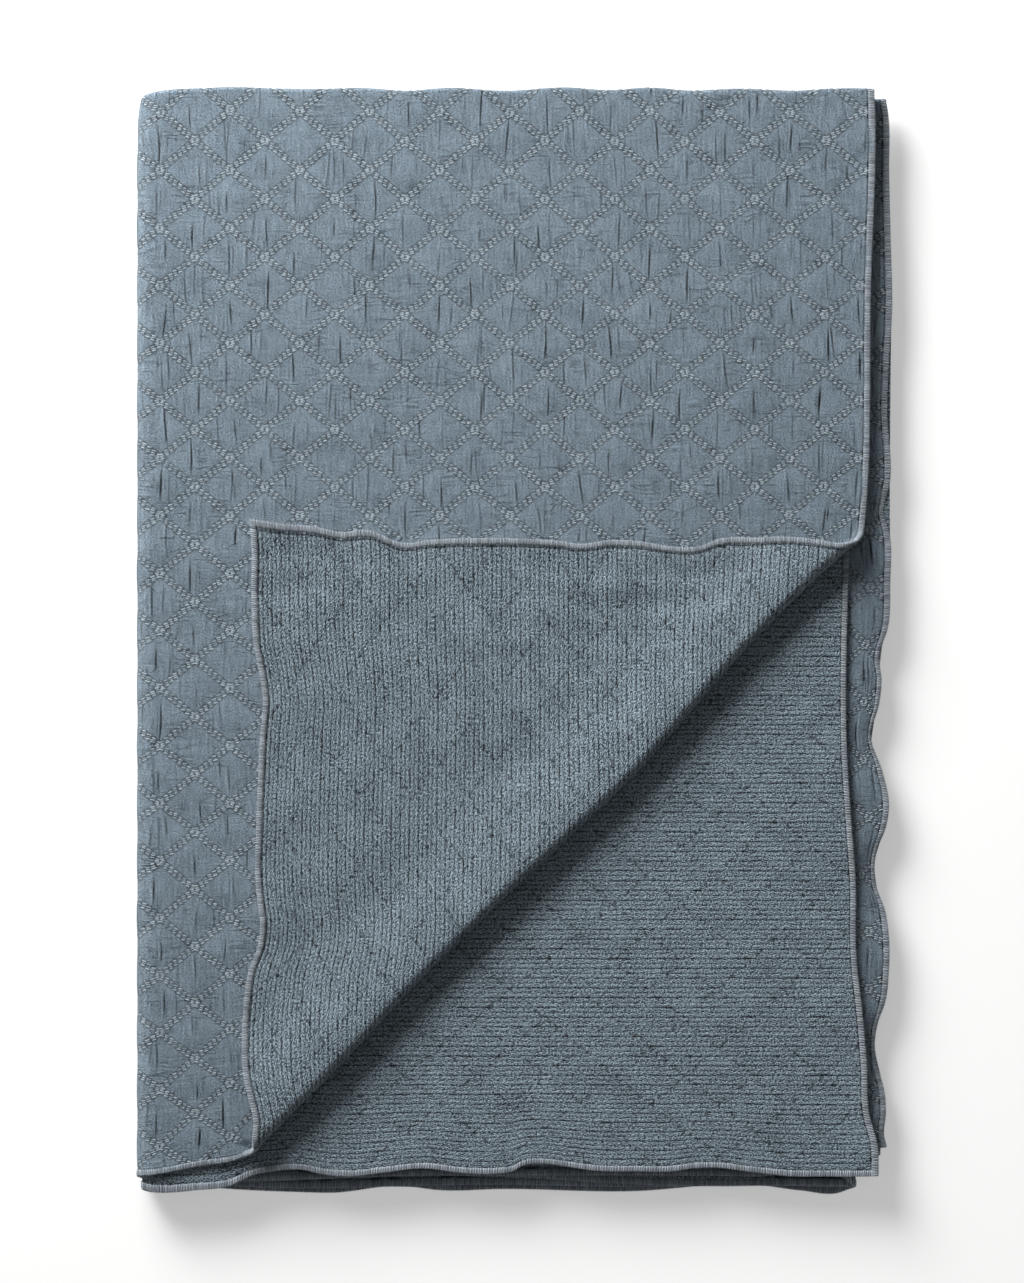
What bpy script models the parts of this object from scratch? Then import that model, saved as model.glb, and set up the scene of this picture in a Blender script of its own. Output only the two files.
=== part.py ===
"""A quilted coverlet, folded in half and then in quarters, with one corner turned back.

The cloth is cut flat as one sheet, given its thickness and then folded. Every point of the flat
sheet has two lengths along the cloth. "across" runs from the upper raw side edge through the four
quarters, and "down" runs from the raw lower edge up the outer half, over the top fold and back
down the inner half. The sheet lies in eight layers. +X is right, +Y is towards the top fold and
+Z is up.
"""

import math

import bmesh
import bpy
import numpy as np

MM = 0.001

# Cloth
LAYER_PITCH = 3.6 * MM
BACK_SIDE = 1.1 * MM
FACE_SIDE = 1.1 * MM
PUFF = 0.7 * MM
STITCH_DIP = 0.3 * MM
DIAMOND_WIDTH = 56.0 * MM
DIAMOND_HEIGHT = 46.0 * MM
TRELLIS_START = (8.0 * MM, 22.2 * MM)

# Folded plan, before the edges wander
FIRST_EDGE_X = 286.4 * MM
LAST_EDGE_X = 301.6 * MM
OUTER_FOLD_X = -286.9 * MM
INNER_FOLD_X = -280.9 * MM
RIGHT_FOLD_X = 269.5 * MM
LOWER_EDGE_Y = -427.6 * MM
TOP_FOLD_Y = 437.2 * MM

# Turned-back corner
CORNER_LINE = 141.7 * MM
CORNER_ANGLE = math.radians(45.0)
ROLL_RADIUS = 7.0 * MM
FLAP_SETTLE = 75.0 * MM
ROLL_WANDER_REACH = 80.0 * MM

# Rounded corner where the top fold meets the left one, and how far it goes towards a full round
CORNER_ROUND = 46.0 * MM
ROUND_SHARE = 0.24

# How far the last quarter's free side drops, and how far the whole stack swells and dips
SIDE_DROOP = 2.5 * MM
DROOP_FROM_X = 276.0 * MM
STACK_SWELL = 1.2 * MM
SWELL_FROM = 0.1
SWELL_MOST = 1.2

# The stack's swell as waves: share, turn in radians a metre to the right and up, phase
SWELL_WAVES = (
    (0.25, 9.1, 6.3, 0.3), (0.25, 9.1, -6.3, 1.1), (0.3, 17.3, -11.9, 1.9), (0.2, 5.1, 23.7, 1.57),
)

# Raw side edge of the first quarter: place down the cloth, how far out, lift, reach inwards (mm)
FIRST_SIDE = (
    (0, 17, 3.0, 90), (28, 13, 2.0, 90), (55, 11, 1.0, 90), (77, 6.5, 0.5, 90),
    (101, 8, 1.5, 90), (132, -2.5, 0.5, 80), (151, 0, 0.5, 80), (194, 1.5, 1.0, 80),
    (230, 1, 1.0, 80), (262, -1, 0.5, 80), (274, -3, 0.5, 80), (300, 0, 1.0, 80),
    (324, -1, 0.5, 80), (349, -5, 0.5, 80), (371, -5, 1.0, 80), (387, 1, 1.5, 80),
    (416, 1.5, 1.0, 80), (442, 1, 0.5, 80), (467, -2.5, 0.5, 80), (483, -5.5, 0, 80),
    (510, -3, 0, 80), (557, -1.5, 0, 80), (701, 0, 0, 80), (861, 3, 0, 80), (870, 2.5, 0, 80),
    (1034, -8, 0, 200), (1200, -16, 0, 300), (1281, -18.5, 0.5, 300), (1335, -19.5, 0, 300),
    (1393, -19, 0.5, 300), (1444, -16, 1.5, 300), (1498, -12, 0.5, 300), (1564, -11, 0.5, 300),
    (1605, -6.5, 1.5, 260), (1646, -3, 0.5, 220), (1686, -1, 1.0, 180), (1711, 5.5, 1.5, 120),
    (1736, 6.5, 1.0, 90),
)

# Raw side edge of the last quarter, with the same columns
LAST_SIDE = (
    (0, -7, 0, 60), (61, -4, -1, 60), (109, -12, -3, 60), (173, -3, -1, 60), (245, -12, -3, 60),
    (301, -3, 0, 60), (353, -16, -4, 60), (397, -9, -2, 60), (461, -2, 0, 60), (541, -4, -1, 60),
    (701, -2, 0, 60), (861, -4, 0, 60), (874, -1.5, 0, 60), (940, 0, 0, 60), (991, 1.5, 0.5, 60),
    (1042, 2.5, 0, 60), (1083, 0, -1, 60), (1124, -1.5, 0, 60), (1178, 1, 0.5, 50),
    (1205, -4, -1.5, 50), (1222, 0.5, 0, 50), (1260, 1, 0.5, 60), (1297, -1, 0, 60),
    (1319, -8, -1.5, 60), (1339, -6, -1, 60), (1358, -8, -2, 60), (1382, -14.5, -4, 60),
    (1413, -5, -1, 60), (1439, 0, 0.5, 60), (1458, -3, -0.5, 60), (1474, -9.5, -3, 60),
    (1502, -10.5, -3, 60), (1524, -3, -1, 60), (1545, 0, 0.5, 60), (1570, 0, 0, 60),
    (1597, -3, -1, 60), (1615, -9, -2.5, 60), (1650, -10.5, -3, 60), (1675, -4, -1, 60),
    (1698, -2.5, 0.5, 60), (1722, -4, 0, 60), (1736, -1.5, 0, 60),
)

# Raw lower edge of the outer half: place across the cloth, how far out, lift, reach (mm)
OUTER_LOWER = (
    (-10, -11, 3.0, 300), (12, -14, 2.0, 300), (49, -14, 1.0, 300), (84, -16, 0.5, 300),
    (104, -20, 0.5, 300), (125, -23, 1.0, 300), (155, -21, 0.5, 300), (196, -19, 0.5, 300),
    (237, -17.5, 1.0, 300), (266, -17, 0.5, 300), (286, -18.5, 0.5, 300), (306, -21, 1.0, 300),
    (326, -18.5, 0.5, 300), (343, -12, 1.0, 300), (370, -8, 1.5, 300), (398, -6.5, 1.0, 300),
    (429, -8, 0.5, 300), (449, -13, 0.5, 300), (463, -16, 0.5, 300), (479, -15, 0.5, 300),
    (496, -17, 0, 280), (506, -13.5, 0, 260), (536, -8.5, 0, 240), (573, -1.5, 0, 220),
    (592, 1, 0, 200), (607, 6, 0, 160), (655, 11, 0, 120), (725, 14.5, 0, 100),
    (749, 15, 0, 100), (805, 9.5, 0, 100), (837, 13, 0, 100), (885, 12, 0, 100),
    (997, 13.5, 0, 100), (1057, 9, 0, 100), (1093, 9, 0, 100), (1125, 13, 0, 100),
    (1160, 14, 0, 100), (1170, 9, 0, 100), (1178, 3, 0, 100), (1250, 1, 0, 100),
    (1400, 0, 0, 100), (1500, 0, 0, 100), (1725, -2, 0, 120), (1737, -4, 0, 120),
    (1800, -6, 0, 120), (2000, -8, 0, 120), (2200, -12, 0, 120), (2330, -16, -1, 120),
)

# Raw lower edge of the inner half, with the same columns
INNER_LOWER = (
    (-10, -1, 1.0, 100), (8, 0, 1.0, 100), (37, 0, 0.5, 100), (61, 0, 0.5, 100),
    (86, -2.5, 1.0, 100), (98, -4, 1.5, 100), (122, -7, 1.0, 100), (141, -6.5, 0.5, 100),
    (159, -4, 0.5, 100), (184, -4, 0.5, 100), (223, -5, 1.0, 100), (243, -8, 1.5, 100),
    (263, -10.5, 1.5, 100), (277, -9, 1.0, 100), (286, -4, 0.5, 100), (296, -2.5, 0.5, 100),
    (323, -2.5, 0.5, 100), (359, -6.5, 1.5, 100), (390, -3, 1.0, 100), (418, 0, 0.5, 100),
    (437, -1.5, 0.5, 100), (455, -5.5, 1.0, 100), (479, -4, 0.5, 100), (492, -1.5, 0, 100),
    (514, 8, 0, 100), (539, 11, 0, 100), (569, 13, 0, 100), (592, 10, 0, 100),
    (607, 9, 0, 100), (725, 11, 0, 100), (885, 8, 0, 100), (1000, 10, 0, 100),
    (1100, 8, 0, 100), (1160, 10, 0, 100), (1178, 9, 0, 100), (1294, 9, 0, 100),
    (1374, 6, 0, 100), (1430, 2, 0, 100), (1534, 0, 0, 100), (1725, -2, 0, 100),
    (1740, -6, 0, 120), (2000, -12, 0, 160), (2250, -20, 0, 160), (2330, -23, -1, 160),
)

# Top fold: place across the cloth, how far out, lift, reach (mm)
TOP_FOLD = (
    (-10, 1.5, 0, 120), (35, 2.5, 0, 120), (60, 0.5, 0, 120), (95, 2.5, 0, 120),
    (140, 1.0, 0, 120), (175, 3.0, 0, 120), (215, 1.5, 0, 120), (250, 3.5, 0, 120),
    (290, 0.5, 0, 120), (330, 3.0, 0, 120), (370, 1.0, 0, 120), (415, 3.0, 0, 120),
    (450, 2.0, 0, 120), (500, 3.5, 0, 120), (535, 3.0, 0, 120), (565, 2.0, 0, 120),
    (590, 0.5, 0, 120), (615, -1.5, 0, 120), (660, -4, 0, 120), (900, -4, 0, 120),
    (1165, -6, 0, 120), (1400, -3, 0, 120), (1725, -6, 0, 120), (1745, -8, 0, 120),
    (1900, -6, 0, 120), (2330, -5.5, 0, 120),
)

# Fold of the turned-back corner: place along it from its middle, how far out (mm)
CORNER_WANDER = (
    (-350, 0), (-310, -1), (-250, -3), (-150, -2), (-60, 1), (0, 2), (60, -2), (120, -6),
    (180, -7), (240, -5), (300, -1), (350, 2),
)

# Cells of the flat sheet: their spacing in half diamonds, and in steps round the folds
ACROSS, DOWN = 0, 1
COARSE = 4
MIDDLE = 2
ARC_STEPS_LARGE = 7
ARC_STEPS_SMALL = 5
HAIRPIN_STEPS = 5
ROLL_STEPS = 6
ROLL_MARGIN = 11.0 * MM
ROLL_CELL = 46.0 * MM
EDGE_BAND = 30.0 * MM
SIDE_BANDS = (12.0 * MM, 32.0 * MM, 60.0 * MM)
ROUND_BANDS = (8.0 * MM, 20.0 * MM)
INNER_SEEN_FROM = 0.5
LATTICE_MARGIN = 2.0 * MM
CUT_TOLERANCE = 1e-5
STITCHED_BELOW = 0.02
PUFF_MIDDLE = 0.5
SMOOTH_UP_TO = math.radians(50.0)

HALF_WIDTH = DIAMOND_WIDTH / 2
HALF_HEIGHT = DIAMOND_HEIGHT / 2

# Lengths along the cloth
FIRST = FIRST_EDGE_X - OUTER_FOLD_X
SECOND = RIGHT_FOLD_X - OUTER_FOLD_X
THIRD = RIGHT_FOLD_X - INNER_FOLD_X
FOURTH = LAST_EDGE_X - INNER_FOLD_X
LARGE_ARC = 3 * math.pi * LAYER_PITCH
SMALL_ARC = math.pi * LAYER_PITCH
STARTS = np.cumsum([0, FIRST, LARGE_ARC, SECOND, SMALL_ARC, THIRD, SMALL_ARC, FOURTH])
WIDTH = float(STARTS[-1])
HALF = TOP_FOLD_Y - LOWER_EDGE_Y
HAIRPIN = math.pi * LAYER_PITCH / 2
LENGTH = 2 * HALF + HAIRPIN
SEEN_INNER = HALF + HAIRPIN + INNER_SEEN_FROM * HALF


def smooth(t):
    t = np.clip(t, 0, 1)
    return t * t * (3 - 2 * t)


def along(rows, column, place):
    """One column of a table, on a smooth curve through its rows."""
    table = np.array(rows, float)
    places = table[:, 0] * MM
    values = table[:, column]
    slopes = np.gradient(values, places)
    i = np.clip(np.searchsorted(places, place) - 1, 0, len(places) - 2)
    gap = places[i + 1] - places[i]
    t = np.clip((place - places[i]) / gap, 0, 1)
    start = (1 + 2 * t) * (1 - t) ** 2 * values[i] + t * (1 - t) ** 2 * gap * slopes[i]
    end = t * t * (3 - 2 * t) * values[i + 1] + t * t * (t - 1) * gap * slopes[i + 1]
    return (start + end) * MM


def edge_move(rows, place, inwards):
    """How far an edge's table moves the cloth out, and lifts it, at a depth inwards."""
    near = np.clip(1 - inwards / along(rows, 3, place), 0, 1)
    return along(rows, 1, place) * near**2, along(rows, 2, place) * near**3


def section(across):
    """The packet's middle line in the XZ section, and its normal on the outer half's side."""
    s = LAYER_PITCH
    x = np.zeros_like(across)
    z = np.zeros_like(across)
    nx = np.zeros_like(across)
    nz = np.zeros_like(across)
    leg = np.clip(np.searchsorted(STARTS, across, side="right") - 1, 0, 6)
    run = across - STARTS[leg]
    straight = (
        # leg, first x, direction, height in layers, normal's z
        (0, FIRST_EDGE_X, -1, 7, 1),
        (2, OUTER_FOLD_X, 1, 1, -1),
        (4, RIGHT_FOLD_X, -1, 3, 1),
        (6, INNER_FOLD_X, 1, 5, -1),
    )
    for number, first_x, way, layers, up in straight:
        here = leg == number
        x[here] = first_x + way * run[here]
        z[here] = layers * s
        nz[here] = up
    turns = (
        # leg, centre x, centre height in layers, radius in layers, side, start, outer half outside
        (1, OUTER_FOLD_X, 4, 3, -1, 1, 1),
        (3, RIGHT_FOLD_X, 2, 1, 1, -1, 1),
        (5, INNER_FOLD_X, 4, 1, -1, -1, -1),
    )
    for number, centre_x, layers, radius, side, start, outside in turns:
        here = leg == number
        angle = run[here] / (radius * s)
        away_x = side * np.sin(angle)
        away_z = start * np.cos(angle)
        x[here] = centre_x + radius * s * away_x
        z[here] = layers * s + radius * s * away_z
        nx[here] = outside * away_x
        nz[here] = outside * away_z
    return x, z, nx, nz


def turn_corner(x, y, z, here):
    """Rolls the cloth past the corner's fold line back over itself."""
    out_x, out_y = math.sin(CORNER_ANGLE), -math.cos(CORNER_ANGLE)
    run_x, run_y = -out_y, out_x
    past = x * out_x + y * out_y - (CORNER_LINE - ROLL_RADIUS)
    run = x * run_x + y * run_y
    r = ROLL_RADIUS
    angle = np.clip(past / r, 0, math.pi)
    after = np.maximum(past - math.pi * r, 0)
    roll = r * np.sin(angle) - after
    settle = smooth(after / FLAP_SETTLE)
    rise = r * (1 - np.cos(angle)) - (2 * r - LAYER_PITCH) * settle
    near = np.clip(1 - np.abs(past - math.pi * r / 2) / ROLL_WANDER_REACH, 0, 1)
    wander = along(CORNER_WANDER, 1, run) * smooth(near)
    change = np.where(past > 0, roll - past, 0) + wander
    x = np.where(here, x + change * out_x, x)
    y = np.where(here, y + change * out_y, y)
    z = np.where(here & (past > 0), z + rise, z)
    return x, y, z


def round_corner(x, y):
    """Draws the square corner at the upper left in towards a round one, for every layer alike."""
    r = CORNER_ROUND
    u = np.clip((OUTER_FOLD_X - 3 * LAYER_PITCH + r - x) / r, 0, 1)
    v = np.clip((y - TOP_FOLD_Y - LAYER_PITCH / 2 + r) / r, 0, 1)
    right = ROUND_SHARE * r * u * (1 - np.sqrt(1 - v * v / 2))
    lower = ROUND_SHARE * r * v * (1 - np.sqrt(1 - u * u / 2))
    return x + right, y - lower


def place(across, down):
    """Where the cloth's middle surface lies, for lengths across and down the flat sheet."""
    across = np.asarray(across, float)
    down = np.asarray(down, float)
    x, z, nx, nz = section(across)
    outer = down < HALF
    inner = down > HALF + HAIRPIN
    turn = np.clip((down - HALF) / HAIRPIN, 0, 1) * math.pi
    aside = LAYER_PITCH / 2 * np.cos(turn)
    y = np.where(outer, LOWER_EDGE_Y + down, TOP_FOLD_Y + LAYER_PITCH / 2 * np.sin(turn))
    y = np.where(inner, TOP_FOLD_Y - (down - HALF - HAIRPIN), y)

    from_lower = np.where(down < LENGTH / 2, down, LENGTH - down)
    from_top = np.abs(down - LENGTH / 2)
    first_out, first_lift = edge_move(FIRST_SIDE, down, across)
    last_out, last_lift = edge_move(LAST_SIDE, down, WIDTH - across)
    outer_out, outer_lift = edge_move(OUTER_LOWER, across, from_lower)
    inner_out, inner_lift = edge_move(INNER_LOWER, across, from_lower)
    top_out, _ = edge_move(TOP_FOLD, across, from_top)
    low_out = np.where(down < LENGTH / 2, outer_out, inner_out)
    low_lift = np.where(down < LENGTH / 2, outer_lift, inner_lift)

    x = x + aside * nx + first_out + last_out
    y = y - low_out + top_out
    z = z + aside * nz
    first = across < FIRST
    upper = first & (down < LENGTH / 2)
    x, y, z = turn_corner(x, y, z, upper)
    z = z + first_lift + last_lift + low_lift
    x, y = round_corner(x, y)

    # The whole stack swells and dips together, in proportion to height, so that layers keep apart
    share = np.clip(z / (8 * LAYER_PITCH) - SWELL_FROM, 0, SWELL_MOST)
    swell = sum(part * np.sin(right * x + up * y + phase) for part, right, up, phase in SWELL_WAVES)
    free = smooth((x - DROOP_FROM_X) / (LAST_EDGE_X - DROOP_FROM_X)) * (across > STARTS[6])
    z = z + STACK_SWELL * swell * share - SIDE_DROOP * free
    return np.stack([x, y, z], axis=-1)


def facing(across, down):
    """The unit normal on the cloth's face side."""
    h = 0.2 * MM
    along_x = place(across + h, down) - place(across - h, down)
    along_y = place(across, down + h) - place(across, down - h)
    normal = np.cross(along_y, along_x)
    return normal / np.linalg.norm(normal, axis=-1, keepdims=True)


def quilting(across, down):
    """1 on a diamond's middle and 0 on the stitched trellis round it."""
    i = (across - TRELLIS_START[0]) / HALF_WIDTH
    j = (down - TRELLIS_START[1]) / HALF_HEIGHT
    return np.abs(np.sin(math.pi * (i + j) / 2) * np.sin(math.pi * (i - j) / 2))


def cut(bm, point, normal, inside):
    """Cuts the flat sheet's faces along a line, where inside(across, down) holds for their middles."""
    faces = [f for f in bm.faces if inside(*f.calc_center_bounds()[:2])]
    edges = {e for f in faces for e in f.edges}
    verts = {v for f in faces for v in f.verts}
    bmesh.ops.bisect_plane(
        bm,
        geom=faces + list(edges) + list(verts),
        dist=CUT_TOLERANCE,
        plane_co=point,
        plane_no=normal,
    )


def cut_across(bm, spots, inside):
    for spot in spots:
        cut(bm, (spot, 0, 0), (1, 0, 0), inside)


def cut_down(bm, spots, inside):
    for spot in spots:
        cut(bm, (0, spot, 0), (0, 1, 0), inside)


def lattice(start, end, axis, every):
    """Places between two ends that fall on every so many steps of the trellis."""
    step = (HALF_WIDTH, HALF_HEIGHT)[axis] * every
    phase = TRELLIS_START[axis]
    first = math.ceil((start + LATTICE_MARGIN - phase) / step)
    last = math.floor((end - LATTICE_MARGIN - phase) / step)
    return [phase + n * step for n in range(first, last + 1)]


def fold_distance(across, down):
    """Distance past the corner's fold line, on the flat sheet."""
    x = FIRST_EDGE_X - across
    y = LOWER_EDGE_Y + down
    return x * math.sin(CORNER_ANGLE) - y * math.cos(CORNER_ANGLE) - (CORNER_LINE - ROLL_RADIUS)


def everywhere(u, v):
    return True


def outer(u, v):
    return v < HALF


def inner(u, v):
    return v > HALF + HAIRPIN


def top_fold(u, v):
    return HALF < v < HALF + HAIRPIN


def first_quarter(u, v):
    return u < FIRST


def large_fold(u, v):
    return STARTS[1] < u < STARTS[2]


def free_side(u, v):
    return u > WIDTH - SIDE_BANDS[-1]


def edge_band(u, v):
    return v < EDGE_BAND or v > LENGTH - EDGE_BAND


def on_leg(leg):
    """A test for one quarter, or one fold, of the section."""

    def test(u, v):
        return STARTS[leg] < u < STARTS[leg + 1]

    return test


def both(one, other):
    """A test that holds where both of two do."""

    def test(u, v):
        return one(u, v) and other(u, v)

    return test


def roll_zone(u, v):
    """The strip of the first quarter that the corner's roll takes up."""
    past = fold_distance(u, v)
    return u < FIRST and v < HALF and -ROLL_MARGIN < past < math.pi * ROLL_RADIUS + ROLL_MARGIN


def first_quilted(u, v):
    """The first quarter's cells that show, apart from the roll."""
    return u < FIRST and (outer(u, v) and not roll_zone(u, v) or v > SEEN_INNER)


def first_hidden(u, v):
    return u < FIRST and HALF + HAIRPIN < v < SEEN_INNER


def cut_folds(bm):
    """Lines where the packet's folds begin and end, and steps round the top fold."""
    cut_across(bm, STARTS[1:-1], everywhere)
    cut_down(bm, [HALF + HAIRPIN * n / HAIRPIN_STEPS for n in range(HAIRPIN_STEPS + 1)], everywhere)


def cut_roll(bm):
    """Strips along the turned-back corner's roll, cut across into short cells."""
    side, rise = math.sin(CORNER_ANGLE), math.cos(CORNER_ANGLE)
    start = CORNER_LINE - ROLL_RADIUS
    round_roll = [math.pi * ROLL_RADIUS * n / ROLL_STEPS for n in range(ROLL_STEPS + 1)]
    for past in [-ROLL_MARGIN, *round_roll, round_roll[-1] + ROLL_MARGIN]:
        at_lower_edge = FIRST_EDGE_X - (past + start + LOWER_EDGE_Y * rise) / side
        cut(bm, (at_lower_edge, 0, 0), (side, rise, 0), both(first_quarter, outer))
    cell = ROLL_CELL * math.sqrt(2)
    cells = int(FIRST / cell) + int(HALF / cell)
    for n in range(-cells, cells + 1):
        cut(bm, (n * cell, 0, 0), (side, -rise, 0), roll_zone)


def cut_first_quarter(bm):
    """Cells of half a diamond where the quilting shows, and coarser ones where it is hidden."""
    cut_down(bm, [SEEN_INNER], lambda u, v: u < STARTS[2])
    cut_across(bm, lattice(0, FIRST, ACROSS, 1), first_quilted)
    cut_down(bm, lattice(0, LENGTH, DOWN, 1), first_quilted)
    cut_across(bm, lattice(0, FIRST, ACROSS, COARSE), first_hidden)
    cut_down(bm, lattice(HALF, SEEN_INNER, DOWN, COARSE), first_hidden)
    cut_across(bm, lattice(0, FIRST, ACROSS, MIDDLE), both(first_quarter, top_fold))


def cut_side_folds(bm):
    """Steps round the folds along the left and right, and short cells along them."""
    large = [STARTS[1] + LARGE_ARC * n / ARC_STEPS_LARGE for n in range(1, ARC_STEPS_LARGE)]
    cut_across(bm, large, large_fold)
    cut_down(bm, lattice(0, HALF, DOWN, MIDDLE), both(large_fold, outer))
    cut_down(bm, lattice(HALF, LENGTH, DOWN, COARSE), both(large_fold, inner))
    for leg in (3, 5):
        small = [STARTS[leg] + SMALL_ARC * n / ARC_STEPS_SMALL for n in range(1, ARC_STEPS_SMALL)]
        cut_across(bm, small, on_leg(leg))
        cut_down(bm, lattice(0, HALF, DOWN, COARSE), on_leg(leg))
        cut_down(bm, lattice(HALF, LENGTH, DOWN, COARSE), on_leg(leg))


def cut_round_corner(bm):
    """Short cells where the upper left corner is rounded."""
    reach = ROUND_BANDS[-1]

    def near_corner(u, v):
        return STARTS[1] - reach < u < STARTS[2] + reach and abs(v - LENGTH / 2) < reach + HAIRPIN

    for band in ROUND_BANDS:
        cut_down(bm, [HALF - band, HALF + HAIRPIN + band], near_corner)
        cut_across(bm, [STARTS[1] - band, STARTS[2] + band], near_corner)


def cut_lower_quarters(bm):
    """Coarse cells, finer along the wavy lower edges and the free side edge."""
    for leg in (2, 4, 6):
        start, end = STARTS[leg], STARTS[leg + 1]
        cut_down(bm, [EDGE_BAND, LENGTH - EDGE_BAND], on_leg(leg))
        cut_across(bm, lattice(start, end, ACROSS, COARSE), on_leg(leg))
        cut_across(bm, lattice(start, end, ACROSS, MIDDLE), both(on_leg(leg), edge_band))
        cut_down(bm, lattice(EDGE_BAND, HALF, DOWN, COARSE), on_leg(leg))
        cut_down(bm, lattice(HALF, LENGTH - EDGE_BAND, DOWN, COARSE), on_leg(leg))
    cut_across(bm, [WIDTH - SIDE_BANDS[-1]], on_leg(6))
    cut_across(bm, [WIDTH - band for band in SIDE_BANDS[:-1]], free_side)
    cut_down(bm, lattice(0, HALF, DOWN, MIDDLE), both(free_side, outer))
    cut_down(bm, lattice(HALF, LENGTH, DOWN, 1), both(free_side, inner))


def flat_sheet():
    """The flat sheet, cut into cells that are fine where the cloth shows or turns."""
    bm = bmesh.new()
    bmesh.ops.create_grid(bm, x_segments=1, y_segments=1, size=0.5)
    for v in bm.verts:
        v.co = ((v.co.x + 0.5) * WIDTH, (v.co.y + 0.5) * LENGTH, 0)
    cut_folds(bm)
    cut_roll(bm)
    cut_first_quarter(bm)
    cut_side_folds(bm)
    cut_lower_quarters(bm)
    cut_round_corner(bm)
    return bm


def split_along_stitches(bm):
    """Splits each whole cell along its stitched diagonal, and the rest into triangles."""
    for face in list(bm.faces):
        corners = list(face.verts)
        stitched = [quilting(v.co.x, v.co.y) < STITCHED_BELOW for v in corners]
        if stitched == [True, False, True, False]:
            bmesh.utils.face_split(face, corners[0], corners[2])
        elif stitched == [False, True, False, True]:
            bmesh.utils.face_split(face, corners[1], corners[3])
    bmesh.ops.triangulate(bm, faces=[f for f in bm.faces if len(f.verts) > 3])


def fold(bm):
    """Gives the flat sheet its thickness and moves every point to its folded place."""
    made = bmesh.ops.extrude_face_region(bm, geom=list(bm.faces))["geom"]
    face_side = {v for v in made if isinstance(v, bmesh.types.BMVert)}
    for v in face_side:
        v.co.z = BACK_SIDE + FACE_SIDE
    bmesh.ops.recalc_face_normals(bm, faces=list(bm.faces))
    # The folded cloth mirrors the flat one, so its faces turn round
    bmesh.ops.reverse_faces(bm, faces=list(bm.faces))
    verts = list(bm.verts)
    across = np.array([v.co.x for v in verts])
    down = np.array([v.co.y for v in verts])
    on_face = np.array([v in face_side for v in verts])
    middle = place(across, down)
    normal = facing(across, down)
    puff = quilting(across, down)
    hidden = ((across > FIRST) & (down > LENGTH / 2)) | (across > STARTS[2])
    strip = (across > WIDTH - SIDE_BANDS[-1]) & (down > LENGTH / 2)
    turned = (across < FIRST) & (down < HALF) & (fold_distance(across, down) > 0)
    under = (across < FIRST) & (down > HALF + HAIRPIN)
    quilted = strip | ~(hidden | under)
    face_height = FACE_SIDE + np.where(quilted, PUFF * (puff - PUFF_MIDDLE), 0)
    back_height = BACK_SIDE - np.where(turned | under, STITCH_DIP * (1 - puff), 0)
    out = np.where(on_face, face_height, -back_height)
    points = middle + normal * out[:, None]
    points[:, 2] -= points[:, 2].min()
    for v, point in zip(verts, points):
        v.co = point


def cloth_material():
    material = bpy.data.materials.new("slate_cotton")
    material.use_nodes = True
    shader = material.node_tree.nodes["Principled BSDF"]
    shader.inputs["Base Color"].default_value = (0.118, 0.155, 0.188, 1)
    shader.inputs["Roughness"].default_value = 0.9
    shader.inputs["Metallic"].default_value = 0.0
    return material


def main():
    for obj in list(bpy.data.objects):
        bpy.data.objects.remove(obj)
    bm = flat_sheet()
    split_along_stitches(bm)
    fold(bm)
    mesh = bpy.data.meshes.new("coverlet")
    bm.to_mesh(mesh)
    bm.free()
    mesh.shade_smooth()
    mesh.set_sharp_from_angle(angle=SMOOTH_UP_TO)
    mesh.materials.append(cloth_material())
    collection = bpy.data.collections.new("coverlet")
    bpy.context.scene.collection.children.link(collection)
    collection.objects.link(bpy.data.objects.new("coverlet", mesh))


main()
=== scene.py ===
"""The folded coverlet's looks: a twill face cloth with a stitched diamond trellis, a ribbed back
cloth, the float stitches and the overlocked edges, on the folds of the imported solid.

Every piece is laid out on the flat sheet and folded by the same map as the solid. "across" runs
from the upper raw side edge through the four quarters, and "down" from the raw lower edge up the
outer half, over the top fold and down the inner half.
"""

import math

import bmesh
import bpy
import numpy as np
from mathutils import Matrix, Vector

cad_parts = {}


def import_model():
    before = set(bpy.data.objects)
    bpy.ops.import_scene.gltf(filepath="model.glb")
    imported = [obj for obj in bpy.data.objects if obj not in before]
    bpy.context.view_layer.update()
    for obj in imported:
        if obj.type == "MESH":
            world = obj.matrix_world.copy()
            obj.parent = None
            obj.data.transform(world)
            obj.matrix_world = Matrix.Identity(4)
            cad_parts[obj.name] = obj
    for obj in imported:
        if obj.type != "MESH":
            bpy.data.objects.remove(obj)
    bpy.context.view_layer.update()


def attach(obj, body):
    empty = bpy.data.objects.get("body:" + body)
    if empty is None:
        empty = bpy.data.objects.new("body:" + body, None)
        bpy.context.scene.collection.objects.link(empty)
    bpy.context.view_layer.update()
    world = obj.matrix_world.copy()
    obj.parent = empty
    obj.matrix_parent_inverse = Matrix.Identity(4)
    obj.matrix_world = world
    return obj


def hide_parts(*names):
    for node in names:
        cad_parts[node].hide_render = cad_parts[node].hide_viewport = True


MM = 0.001

# Cloth
LAYER_PITCH = 3.6 * MM
BACK_SIDE = 1.1 * MM
FACE_SIDE = 1.1 * MM
PUFF = 0.7 * MM
DIAMOND_WIDTH = 56.0 * MM
DIAMOND_HEIGHT = 46.0 * MM
TRELLIS_START = (8.0 * MM, 22.2 * MM)

# Folded plan, before the edges wander
FIRST_EDGE_X = 286.4 * MM
LAST_EDGE_X = 301.6 * MM
OUTER_FOLD_X = -286.9 * MM
INNER_FOLD_X = -280.9 * MM
RIGHT_FOLD_X = 269.5 * MM
LOWER_EDGE_Y = -427.6 * MM
TOP_FOLD_Y = 437.2 * MM

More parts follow.
